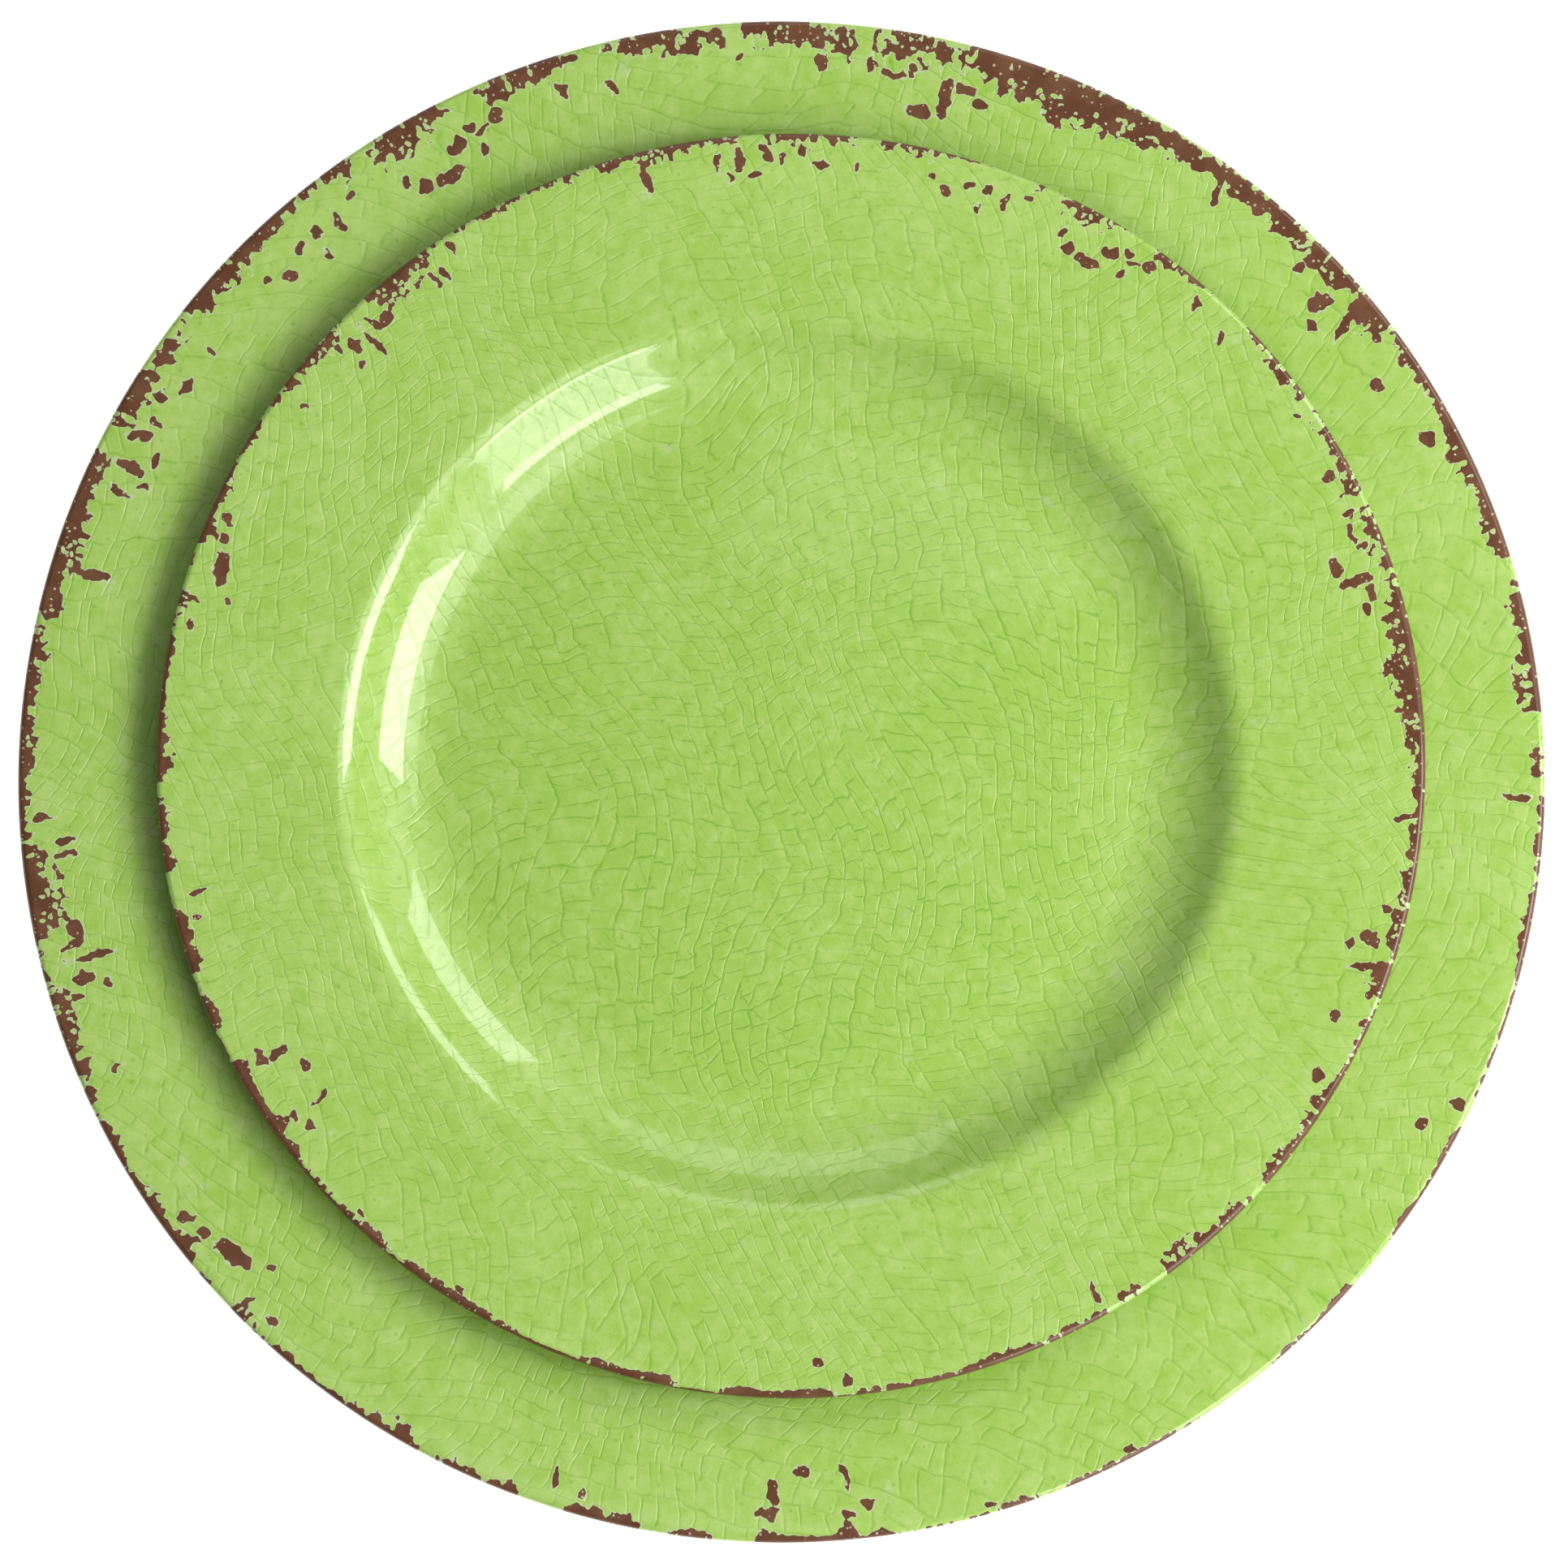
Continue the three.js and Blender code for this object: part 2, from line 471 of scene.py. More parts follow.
class Outline:
    """A line drawn in the half-plane of radius (X) and height (Z), one stretch at a time."""

    AXIS = Vector((0, 1, 0))

    def __init__(self, x, z):
        self.bm = bmesh.new()
        self.end = self.bm.verts.new((x, 0, z))
        self.corners = []

    def line_to(self, x, z, rounded=False):
        """Draws a straight stretch, and can mark the corner at its end for rounding."""
        made = bmesh.ops.extrude_vert_indiv(self.bm, verts=[self.end])
        self.end = made["verts"][0]
        self.end.co = (x, 0, z)
        if rounded:
            self.corners.append(Vector((x, 0, z)))

    def bend(self, centre, turn, steps):
        """Draws a round stretch about a centre. A positive turn is anticlockwise."""
        made = bmesh.ops.spin(
            self.bm,
            geom=[self.end],
            cent=(centre.x, 0, centre.y),
            axis=-self.AXIS,
            dvec=(0, 0, 0),
            angle=turn,
            steps=steps,
            use_duplicate=False,
        )
        self.end = made["geom_last"][0]

    def forward(self, slope, distance):
        """Draws a straight stretch of some length up a slope."""
        x, _, z = self.end.co
        self.line_to(x + distance * math.cos(slope), z + distance * math.sin(slope))

    def finish(self, corner_size):
        """Joins the stretches, divides the long ones, and rounds the marked corners."""
        bm = self.bm
        bmesh.ops.remove_doubles(bm, verts=bm.verts, dist=MERGE_DISTANCE)
        for edge in [e for e in bm.edges if e.calc_length() > LONGEST_EDGE]:
            cuts = int(edge.calc_length() / LONGEST_EDGE)
            bmesh.ops.subdivide_edges(bm, edges=[edge], cuts=cuts)
        at_corner = [
            vert
            for vert in bm.verts
            if any((vert.co - corner).length < MERGE_DISTANCE for corner in self.corners)
        ]
        bmesh.ops.bevel(
            bm,
            geom=at_corner,
            offset=corner_size,
            offset_type="OFFSET",
            segments=CORNER_SEGMENTS,
            profile=0.5,
            affect="VERTICES",
            material=-1,
        )
        return bm


def above(point, slope, distance):
    """The point at some distance square to a slope, on its upper side."""
    return Vector(
        (point.x - distance * math.sin(slope), point.y + distance * math.cos(slope))
    )


def draw_outline(shape, own, radius):
    """A plate's outline, from the axis out along the underside and back in along the top."""
    floor_edge = shape.floor_edge * radius
    foot_inner = floor_edge - shape.foot_width * radius
    floor_top = own.foot_height + own.thickness
    cove = shape.cove * radius
    shoulder = shape.shoulder * radius
    lip = own.thickness * shape.lip_share / 2
    wall, rim = shape.wall_slope, shape.rim_slope

    # The cove turns about a point above the floor, and the shoulder about one under the rim.
    # The rim's top stays straight, and its underside rises to the thinner lip.
    cove_centre = Vector((floor_edge, floor_top + cove))
    cove_end = above(cove_centre, wall, -cove)
    wall_end = cove_end + shape.wall_length * Vector((math.cos(wall), math.sin(wall)))
    shoulder_centre = above(wall_end, wall, -shoulder)
    inside_rim = above(shoulder_centre, rim, shoulder - lip)
    rim_length = (radius - lip - inside_rim.x) / math.cos(rim)
    lip_centre = inside_rim + rim_length * Vector((math.cos(rim), math.sin(rim)))

    line = Outline(0, own.foot_height)
    line.line_to(foot_inner, own.foot_height, rounded=True)
    line.line_to(foot_inner + shape.foot_draft, 0, rounded=True)
    line.line_to(floor_edge - shape.foot_draft, 0, rounded=True)
    line.line_to(floor_edge, own.foot_height, rounded=True)
    line.bend(cove_centre, wall, COVE_STEPS)
    line.forward(wall, shape.wall_length)
    line.bend(shoulder_centre, rim - wall, SHOULDER_STEPS)
    line.line_to(*above(lip_centre, rim, -lip))
    line.bend(lip_centre, math.pi, LIP_STEPS)
    line.forward(rim, -rim_length)
    line.bend(shoulder_centre, wall - rim, SHOULDER_STEPS)
    line.forward(wall, -shape.wall_length)
    line.bend(cove_centre, -wall, COVE_STEPS)
    line.line_to(0, floor_top)
    return line.finish(shape.foot_round)


def spin_plate(name, shape, own, place):
    """Spins a plate's outline into a closed mesh at its place, and smooths its shading."""
    bm = draw_outline(shape, own, place.radius)
    bmesh.ops.spin(
        bm,
        geom=bm.verts[:] + bm.edges[:],
        cent=(0, 0, 0),
        axis=(0, 0, 1),
        dvec=(0, 0, 0),
        angle=FULL_TURN,
        steps=shape.segments,
        use_merge=True,
        use_duplicate=False,
    )
    bmesh.ops.remove_doubles(bm, verts=bm.verts, dist=MERGE_DISTANCE)
    bmesh.ops.translate(bm, verts=bm.verts, vec=place.centre)
    bmesh.ops.recalc_face_normals(bm, faces=bm.faces)
    for face in bm.faces:
        face.smooth = True
    mesh = bpy.data.meshes.new(name)
    bm.to_mesh(mesh)
    bm.free()
    plate = bpy.data.objects.new(name, mesh)
    bpy.context.scene.collection.objects.link(plate)
    return plate


def warp(plate):
    """Bends a plate very slightly out of true, as firing does."""
    clouds = bpy.data.textures.new(plate.name + "_warp", "CLOUDS")
    clouds.noise_scale = WARP_SIZE
    clouds.noise_depth = 0
    displace = plate.modifiers.new("firing_warp", "DISPLACE")
    displace.texture = clouds
    displace.texture_coords = "LOCAL"
    displace.strength = WARP_HEIGHT
    displace.mid_level = 0.5


# ---------------------------------------------------------------- shader arithmetic


class Value:
    """A number that varies over the surface. Arithmetic on it adds Math nodes."""

    def __init__(self, shader, socket):
        self.shader = shader
        self.socket = socket

    def math(self, operation, *others):
        """This number and others through a Math node."""
        return self.shader.math(operation, self, *others)

    def __add__(self, other):
        return self.math("ADD", other)

    def __sub__(self, other):
        return self.math("SUBTRACT", other)

    def __mul__(self, other):
        return self.math("MULTIPLY", other)

    def __truediv__(self, other):
        return self.math("DIVIDE", other)

    def __rsub__(self, other):
        return self.shader.math("SUBTRACT", other, self)

    def __rtruediv__(self, other):
        return self.shader.math("DIVIDE", other, self)

    __radd__ = __add__
    __rmul__ = __mul__

    def larger(self, other):
        """The larger of this number and another."""
        return self.math("MAXIMUM", other)

    def smaller(self, other):
        """The smaller of this number and another."""
        return self.math("MINIMUM", other)


class Shader:
    """A node material being written."""

    def __init__(self, name):
        self.material = bpy.data.materials.new(name)
        self.material.use_nodes = True
        self.tree = self.material.node_tree
        self.tree.nodes.clear()

    def node(self, kind, settings=None, inputs=None):
        """Adds a node, sets its settings first, and then gives its sockets values or links."""
        made = self.tree.nodes.new(kind)
        for name, value in (settings or {}).items():
            if name == "stops":
                self.set_stops(made.color_ramp, value)
            elif name == "interpolation":
                made.color_ramp.interpolation = value
            else:
                setattr(made, name, value)
        for name, value in (inputs or {}).items():
            self.feed(made.inputs[name], value)
        return made

    def feed(self, socket, value):
        """Gives a socket a plain value, or a link."""
        if isinstance(value, Value):
            value = value.socket
        if isinstance(value, bpy.types.NodeSocket):
            self.tree.links.new(value, socket)
        else:
            socket.default_value = value

    @staticmethod
    def set_stops(ramp, stops):
        """Replaces a ramp's stops with pairs of a position and a colour."""
        while len(ramp.elements) > 1:
            ramp.elements.remove(ramp.elements[-1])
        for i, (position, shade) in enumerate(stops):
            stop = ramp.elements[0] if i == 0 else ramp.elements.new(position)
            stop.position = position
            stop.color = (*shade, *UNUSED_CHANNELS)[:3] + (1,)

    def math(self, operation, *terms):
        """A Math node on up to three terms."""
        made = self.node(
            "ShaderNodeMath", {"operation": operation}, dict(enumerate(terms))
        )
        return Value(self, made.outputs[0])

    def rise(self, value, low, high, start=0.0, end=1.0):
        """Rises smoothly from start to end as value goes from low to high."""
        made = self.node(
            "ShaderNodeMapRange",
            {"interpolation_type": "SMOOTHSTEP"},
            {0: value, 1: low, 2: high, 3: start, 4: end},
        )
        return Value(self, made.outputs[0])

    def blend(self, factor, first, second):
        """A colour between two others."""
        made = self.node(
            "ShaderNodeMix",
            {"data_type": "RGBA"},
            {0: factor, 6: opaque(first), 7: opaque(second)},
        )
        return made.outputs[2]

    def vector(self, operation, first, second=None, scale=None):
        """A Vector Math node, whose first output is the vector."""
        inputs = {0: first}
        if second is not None:
            inputs[1] = second
        if scale is not None:
            inputs["Scale"] = scale
        return self.node("ShaderNodeVectorMath", {"operation": operation}, inputs)

    def noise(self, point, size, detail=2.0, roughness=0.5, dimensions="2D"):
        """Soft noise about 0, mostly from -1 to 1, whose blotches are about size mm across."""
        made = self.node(
            "ShaderNodeTexNoise",
            {"noise_dimensions": dimensions},
            {
                "Vector": point,
                "Scale": 1 / size,
                "Detail": detail,
                "Roughness": roughness,
            },
        )
        return (Value(self, made.outputs[0]) - 0.5) * 4

    def wander(self, point, size, reach, detail=1.0):
        """A point moved about by noise, by up to about reach mm."""
        drift = self.node(
            "ShaderNodeTexNoise",
            {"noise_dimensions": "2D"},
            {"Vector": point, "Scale": 1 / size, "Detail": detail},
        )
        off = self.vector("SUBTRACT", drift.outputs[1], (0.5, 0.5, 0.5)).outputs[0]
        move = self.vector("SCALE", off, scale=reach * 2).outputs[0]
        return self.vector("ADD", point, move).outputs[0]

    def splits(self, along, spacing):
        """How far the nearest of many random splits is in mm, and a number for each piece."""
        pattern = {"voronoi_dimensions": "1D", "feature": "DISTANCE_TO_EDGE"}
        where = {"W": along / spacing, "Scale": 1.0}
        gap = self.node("ShaderNodeTexVoronoi", pattern, where).outputs["Distance"]
        pieces = self.node(
            "ShaderNodeTexVoronoi", {**pattern, "feature": "F1"}, where
        ).outputs["Color"]
        number = self.node("ShaderNodeSeparateColor", inputs={0: pieces}).outputs[0]
        return Value(self, gap) * spacing, Value(self, number)

    def bubbles(self, point, size):
        """About 0, low at the middle of each round bubble and high between bubbles."""
        made = self.node(
            "ShaderNodeTexVoronoi",
            {"feature": "F1", "voronoi_dimensions": "2D"},
            {"Vector": point, "Scale": 1 / size},
        )
        return (Value(self, made.outputs["Distance"]) - 0.45) * 2

    def dots(self, point, cell, smallest, largest, kept):
        """How far inside a round dot a point is, in mm. Only a share of the cells hold one."""
        made = self.node(
            "ShaderNodeTexVoronoi",
            {"feature": "F1", "voronoi_dimensions": "2D"},
            {"Vector": point, "Scale": 1 / cell},
        )
        chance = self.node("ShaderNodeSeparateColor", inputs={0: made.outputs["Color"]})
        held = Value(self, chance.outputs[0]).math("LESS_THAN", kept)
        radius = Value(self, chance.outputs[1]) * (largest - smallest) + smallest
        return held * radius - Value(self, made.outputs["Distance"]) * cell


def opaque(shade):
    """A colour with alpha for a node's socket. A link is left as it is."""
    if isinstance(shade, (Value, bpy.types.NodeSocket)):
        return shade
    return (*shade, 1)


# ---------------------------------------------------------------- glaze

Spot = namedtuple("Spot", "point depth radial azimuth level topside")
Polar = namedtuple("Polar", "depth radial azimuth")

UNUSED_CHANNELS = (0, 0, 0)  # what a ramp holds where a row has fewer than three columns
RAMPS = 6  # ramps that share the way round, because one ramp holds few stops
RAMP_SPAN = 360 / RAMPS
CHIP_PLACE_UNITS = (360, 20, 90)  # what 1 stands for in a ramp of azimuths, depths and leans
CHIP_SIZE_UNITS = (4, 4)  # and in one of half lengths
MM_PER_DEGREE = math.radians(PATTERN_RADIUS)

# Sizes in mm of what the wear and the crackle are made of.
FINGER_SIZE = 1.5
FINGER_REACH = 0.3  # how fast the fingers change inwards, against along the rim
PATCH_SIZE = 2.6
BAY_SIZE = 1.7
REACH_GAIN = 1.18  # the wear fades out this much further in than the rows say
SHORTEST_REACH = 0.3
LONG_CRACKS = 4.3
CROSSING_CRACKS = 3.8
FINE_CRACKS = 1.9
BAND_STEP = 170  # moves the crossing cracks of neighbouring bands out of line
BRICK_STEP = 90  # the same for the fine cracks

# Radii in mm between which the well's darker glaze gives way to the rim's.
WELL_EDGE = (68, 84)
FOOT_EDGE = (0.35, 0.6)  # heights in mm between which the bare foot gives way to glaze
WORN_EDGE = 0.03  # half the width of the change from glaze to clay, in units of wear


def polar(sh, point):
    """A point's depth from the rim and its radius in mm, and its azimuth as part of a turn."""
    x, y, _ = sh.node("ShaderNodeSeparateXYZ", inputs={0: point}).outputs
    x, y = Value(sh, x), Value(sh, y)
    radial = (x * x + y * y).math("SQRT")
    azimuth = (y.math("ARCTAN2", x) / FULL_TURN).math("FRACT")
    return Polar(PATTERN_RADIUS - radial, radial, azimuth)


def spot_on_plate(sh, place, own):
    """Where the shaded point is on the plate, in millimetres of the decoration."""
    scale = own.decor_scale * place.radius / PATTERN_RADIUS
    middle = place.centre + Vector((own.decor_right, own.decor_back, 0))
    coordinates = sh.node("ShaderNodeTexCoord")
    mapped = sh.node(
        "ShaderNodeMapping",
        {"vector_type": "TEXTURE"},
        {
            "Vector": coordinates.outputs["Object"],
            "Location": middle,
            "Rotation": (0, 0, own.decor_turn),
            "Scale": (scale, scale, scale),
        },
    )
    point = mapped.outputs[0]
    level = sh.node("ShaderNodeSeparateXYZ", inputs={0: point}).outputs[2]
    facing = sh.node("ShaderNodeSeparateXYZ", inputs={0: coordinates.outputs["Normal"]})
    topside = sh.rise(Value(sh, facing.outputs[2]), -0.2, 0.2)
    about = polar(sh, point)
    return Spot(
        point, about.depth, about.radial, about.azimuth, Value(sh, level), topside
    )


def value_at(rows, degrees):
    """What rows by azimuth give at an azimuth, read straight between the nearest two."""
    rows = [(rows[-1][0] - 360, *rows[-1][1:]), *rows, (rows[0][0] + 360, *rows[0][1:])]
    for before, after in zip(rows, rows[1:]):
        if before[0] <= degrees <= after[0]:
            part = (degrees - before[0]) / (after[0] - before[0])
            return [b + (a - b) * part for b, a in zip(before[1:], after[1:])]
    raise ValueError(f"no rows about {degrees} degrees")


def round_the_rim(sh, spot, rows, units, held=False):
    """Reads rows by azimuth. It gives each column, blended between rows or held from each on."""
    found = None
    for i in range(RAMPS):
        start = i * RAMP_SPAN
        inside = [row for row in rows if start < row[0] < start + RAMP_SPAN]
        if held:
            before = [row for row in rows if row[0] <= start]
            ends = [(start, *(before[-1] if before else rows[-1])[1:])]
        else:
            ends = [(at, *value_at(rows, at)) for at in (start, start + RAMP_SPAN)]
        stops = [
            ((at - start) / RAMP_SPAN, [v / unit for v, unit in zip(values, units)])
            for at, *values in sorted(ends + inside)
        ]
        ramp = sh.node(
            "ShaderNodeValToRGB",
            {"stops": stops, "interpolation": "CONSTANT" if held else "LINEAR"},
            {0: spot.azimuth * RAMPS - i},
        ).outputs[0]
        past = spot.azimuth.math("GREATER_THAN", i / RAMPS)
        found = ramp if found is None else sh.blend(past, found, ramp)
    parts = sh.node("ShaderNodeSeparateColor", inputs={0: found})
    return [Value(sh, part) * unit for part, unit in zip(parts.outputs, units)]


def worn_edge(sh, spot, patches, bays):
    """How worn the rim's edge is. Above 0 the glaze is gone."""
    reach, covered, outermost = round_the_rim(sh, spot, EDGE_WEAR, EDGE_UNITS)

    # Near the edge the wear runs inwards in fingers, and further in it has no direction.
    flat = sh.node("ShaderNodeSeparateXYZ", inputs={0: spot.point})
    stretch = PATTERN_RADIUS / spot.radial.larger(1.0)
    fingers_at = sh.node(
        "ShaderNodeCombineXYZ",
        inputs={
            0: Value(sh, flat.outputs[0]) * stretch,
            1: Value(sh, flat.outputs[1]) * stretch,
            2: spot.depth * FINGER_REACH,
        },
    ).outputs[0]
    fingers = sh.noise(fingers_at, FINGER_SIZE, detail=1.5, dimensions="3D")
    finger_share = sh.rise(spot.depth, 1.5, 4.0, 0.6, 0.15)
    rough = fingers * finger_share * 1.3 + (patches * 0.65 + bays * 1.0) * (
        1.15 - finger_share
    )

    further = (spot.depth / (reach * REACH_GAIN).larger(SHORTEST_REACH)).math("POWER", 3)
    threshold = (0.46 - covered) * 1.3 + further * 1.1
    at_the_edge = sh.rise(spot.depth, 0.3, 1.7, 3.0, 0.0)
    return rough - threshold + (outermost - 0.5) * at_the_edge


def chip_layers():
    """Deals the listed chips into layers, in which no two share an azimuth."""
    layers = []
    for row in sorted(CHIPS):
        azimuth, depth, half_along, half_inward, lean = row
        lean = math.radians(lean)
        spread = math.hypot(half_along * math.cos(lean), half_inward * math.sin(lean))
        spread = math.degrees((spread + CHIP_MARGIN) / PATTERN_RADIUS)
        start, end = azimuth - spread, azimuth + spread
        free = [layer for layer in layers if layer[-1][1] <= start]
        if not free:
            layers.append([])
            free = layers[-1:]
        free[0].append((start, end, row))
    return [[(start, row) for start, _, row in layer] for layer in layers]


def chip_layer(sh, spot, about, layer):
    """How far inside a chip of one layer a point is, in mm. Above 0 is inside."""
    where = [(start, row[0], row[1], row[4]) for start, row in layer]
    sizes = [(start, row[2], row[3]) for start, row in layer]
    azimuth, depth, lean = round_the_rim(
        sh, spot, where, CHIP_PLACE_UNITS, held=True
    )
    half_along, half_inward = round_the_rim(
        sh, spot, sizes, CHIP_SIZE_UNITS, held=True
    )
    along = (about.azimuth * 360 - azimuth) * MM_PER_DEGREE
    inward = about.depth - depth
    lean = lean.math("RADIANS")
    cos, sin = lean.math("COSINE"), lean.math("SINE")
    across = (along * cos + inward * sin) / half_along
    down = (inward * cos - along * sin) / half_inward
    away = (across * across + down * down).math("SQRT")
    return (1 - away) * half_along.smaller(half_inward)


def set_chips(sh, spot, patches, bays):
    """How far inside a listed chip a point is, in mm. Above 0 is inside."""
    about = polar(sh, sh.wander(spot.point, 2.4, 0.8))
    nearest = None
    for layer in chip_layers():
        inside = chip_layer(sh, spot, about, layer)
        nearest = inside if nearest is None else nearest.larger(inside)
    return nearest * 1.2 + patches * 0.22 + bays * 0.34 + 0.2


def wear(sh, spot):
    """How worn the glaze is. Above 0 it is gone, and just below 0 it is thin and pale."""
    patches = sh.noise(sh.wander(spot.point, 3.0, 1.0), PATCH_SIZE, detail=1.5)
    bays = sh.bubbles(sh.wander(spot.point, 1.6, 0.5), BAY_SIZE)
    chips = set_chips(sh, spot, patches, bays)
    on_top = chips * spot.topside - (1 - spot.topside)
    return worn_edge(sh, spot, patches, bays).larger(on_top)


# pieces is a number for each crackle piece, which sets the painted shade on that piece.
Crackle = namedtuple("Crackle", "drawn grooves pieces")


def crackle(sh, spot, well):
    """Long cracks, short ones that end at them, fine ones, and the pieces between them, each with
    a number that later paints a shade on it, as if the piece were tilted to the light.

    Patches of the surface show mostly long cracks or mostly crossing ones, and both show a
    little everywhere as grooves.
    """
    bent = sh.wander(sh.wander(spot.point, 75, 24), 9, 1.7, detail=3)
    parts = sh.node("ShaderNodeSeparateXYZ", inputs={0: bent})
    x, y = Value(sh, parts.outputs[0]), Value(sh, parts.outputs[1])
    broken = sh.noise(spot.point, 6, detail=3)
    long_gap, band = sh.splits(y * 0.96 + x * 0.28, LONG_CRACKS)
    cross_gap, brick = sh.splits(
        x * 0.94 - y * 0.34 + band * BAND_STEP, CROSSING_CRACKS
    )
    fine_gap, _ = sh.splits(y * 0.9 - x * 0.35 + brick * BRICK_STEP, FINE_CRACKS)
    long_share = sh.rise(broken, -0.7, 0.2)
    cross_share = sh.rise(broken, 0.8, -0.1)
    long_cracks = sh.rise(long_gap, 0.04, 0.24, 1.0, 0.0) * long_share
    crossing = sh.rise(cross_gap, 0.04, 0.22, 1.0, 0.0) * cross_share
    fine = sh.rise(fine_gap, 0.02, 0.18, 1.0, 0.0)
    fine = fine * sh.rise(sh.noise(spot.point, 5), -0.1, 0.7) * (well * 0.7 + 0.3)
    drawn = long_cracks.larger(crossing).larger(fine * 0.8)
    long_groove = sh.rise(long_gap, 0.0, 0.55, 1.0, 0.0) * (long_share * 0.7 + 0.3)
    cross_groove = sh.rise(cross_gap, 0.0, 0.5, 1.0, 0.0) * (cross_share * 0.7 + 0.3)
    grooves = long_groove.larger(cross_groove)
    return Crackle(drawn, grooves, band * 0.4 + brick * 0.6)


def glaze_colour(sh, spot, look, well, cracks):
    """The glaze's colour, with its clouds, pooled green, pinholes and crackle, and a painted
    shade that makes each crackle piece lighter or darker as if it were tilted.
    """
    clouds = sh.noise(spot.point, 32, detail=2)
    mottle = sh.noise(spot.point, 3.6, detail=4, roughness=0.68)
    tone_and_piece_shade = 0.45 + clouds * 0.22 + mottle * 0.6 - well * 0.24
    # Painted shade: each crackle piece is made a little lighter or darker, as if tilted towards
    # or away from the light, most strongly on the rim.
    tone_and_piece_shade = tone_and_piece_shade + (cracks.pieces - 0.5) * (0.42 - well * 0.26)
    shade = sh.blend(tone_and_piece_shade, look.green, look.pale)

    milky = sh.rise(sh.noise(spot.point, 8, detail=3, roughness=0.65), 0.6, 1.5, 0, 0.5)
    shade = sh.blend(milky, shade, look.halo)

    strength = sh.rise(clouds + mottle, -1.0, 1.0, 0.9, 0.45)
    shade = sh.blend(cracks.drawn * strength * (well * 0.5 + 0.7), shade, look.deep)
    pooled = sh.rise(mottle, -0.5, -1.3, 0.0, 0.3)
    shade = sh.blend(pooled, shade, look.deep)

    pinhole = sh.rise(sh.dots(spot.point, 4.0, 0.12, 0.42, 0.6), -0.14, 0.1, 0, 0.5)
    return sh.blend(pinhole, shade, look.deep)


def clay_colour(sh, spot, look):
    """Clay where the glaze has gone, with lighter clouds and small pale specks."""
    clouds = sh.rise(sh.noise(spot.point, 5, detail=3), -0.8, 1.0)
    shade = sh.blend(clouds, look.clay, look.clay_light)
    speck = sh.rise(sh.dots(spot.point, 1.3, 0.05, 0.26, 0.30), -0.06, 0.04, 0, 0.85)
    return sh.blend(speck, shade, look.speck)


def glazed_surface(sh, spot, look, worn_by):
    """Glossy glaze with its crackle, thin and pale towards a worn patch, and bare at the foot."""
    well = sh.rise(spot.radial, *WELL_EDGE, 1.0, 0.0)
    cracks = crackle(sh, spot, well)
    border = sh.rise(worn_by, -0.34, -0.14, 0.0, 0.8)
    foot = sh.rise(spot.level, *FOOT_EDGE, 1.0, 0.0)
    shade = glaze_colour(sh, spot, look, well, cracks)
    shade = sh.blend(border, shade, look.halo)
    shade = sh.blend(foot, shade, look.foot_clay)
    bare_share = look.foot_roughness - look.glaze_roughness
    return sh.node(
        "ShaderNodeBsdfPrincipled",
        inputs={
            "Base Color": shade,
            "Roughness": foot * bare_share + look.glaze_roughness,
            "IOR": 1.5,
            "Coat Weight": 1 - foot,
            "Coat Roughness": 0.04,
            "Coat IOR": look.coat_ior,
            "Normal": crackle_relief(sh, spot, look, cracks),
        },
    )


def crackle_relief(sh, spot, look, cracks):
    """The crackle's grooves, and a slight waviness of the glaze, as relief in mm."""
    height = sh.noise(spot.point, 4.0, detail=1) * 0.012
    height = height - cracks.grooves * 0.05 - cracks.drawn * 0.014
    relief = {"Strength": look.relief, "Distance": MM, "Height": height}
    return sh.node("ShaderNodeBump", inputs=relief).outputs[0]


def worn_surface(sh, spot, look):
    """Clay under a thin coat, where the coloured glaze has gone."""
    return sh.node(
        "ShaderNodeBsdfPrincipled",
        inputs={
            "Base Color": clay_colour(sh, spot, look),
            "Roughness": look.clay_roughness,
            "IOR": 1.5,
            "Coat Weight": 0.5,
            "Coat Roughness": 0.08,
        },
    )


def glaze_material(name, place, own, look):
    """The glaze of one plate, with the decoration sized and turned for that plate."""
    sh = Shader(name)
    spot = spot_on_plate(sh, place, own)
    worn_by = wear(sh, spot)
    surface = sh.node(
        "ShaderNodeMixShader",
        inputs={
            0: sh.rise(worn_by, -WORN_EDGE, WORN_EDGE),
            1: glazed_surface(sh, spot, look, worn_by).outputs[0],
            2: worn_surface(sh, spot, look).outputs[0],
        },
    )
    sh.node("ShaderNodeOutputMaterial", inputs={0: surface.outputs[0]})
    return sh.material


def make_plate(node, own):
    """Makes one plate in place of its plain solid, glazes it, and lets it move with its body."""
    settings = bpy.context.scene.plates
    place = place_of(node)
    plate = spin_plate("glazed_" + node, settings.shape, own, place)
    warp(plate)
    plate.data.materials.append(
        glaze_material(node + "_glaze", place, own, settings.glaze)
    )
    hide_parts(node)
    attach(plate, node)


# ---------------------------------------------------------------- studio

FLOOR_DROP = 0.3 * MM  # keeps the floor clear of the foot
FLOOR_SEGMENTS = 96
FLOOR_GLOW = 0.85


def direction(azimuth, elevation):
    """The unit vector towards an azimuth from +X, and an elevation above level."""
    return Vector(
        (
            math.cos(azimuth) * math.cos(elevation),
            math.sin(azimuth) * math.cos(elevation),
            math.sin(elevation),
        )
    )


def rim_centre():
    """The middle of the dinner plate's rim, which the camera and lights point at."""
    low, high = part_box("dinner_plate")
    return Vector(((low.x + high.x) / 2, (low.y + high.y) / 2, high.z))


def stage_piece(name, data, where, facing=None):
    """Puts a light or the camera in the scene, facing a point."""
    made = bpy.data.objects.new(name, data)
    bpy.context.scene.collection.objects.link(made)
    made.location = where
    if facing is not None:
        made.rotation_euler = (facing - where).to_track_quat("-Z", "Y").to_euler()
    return made


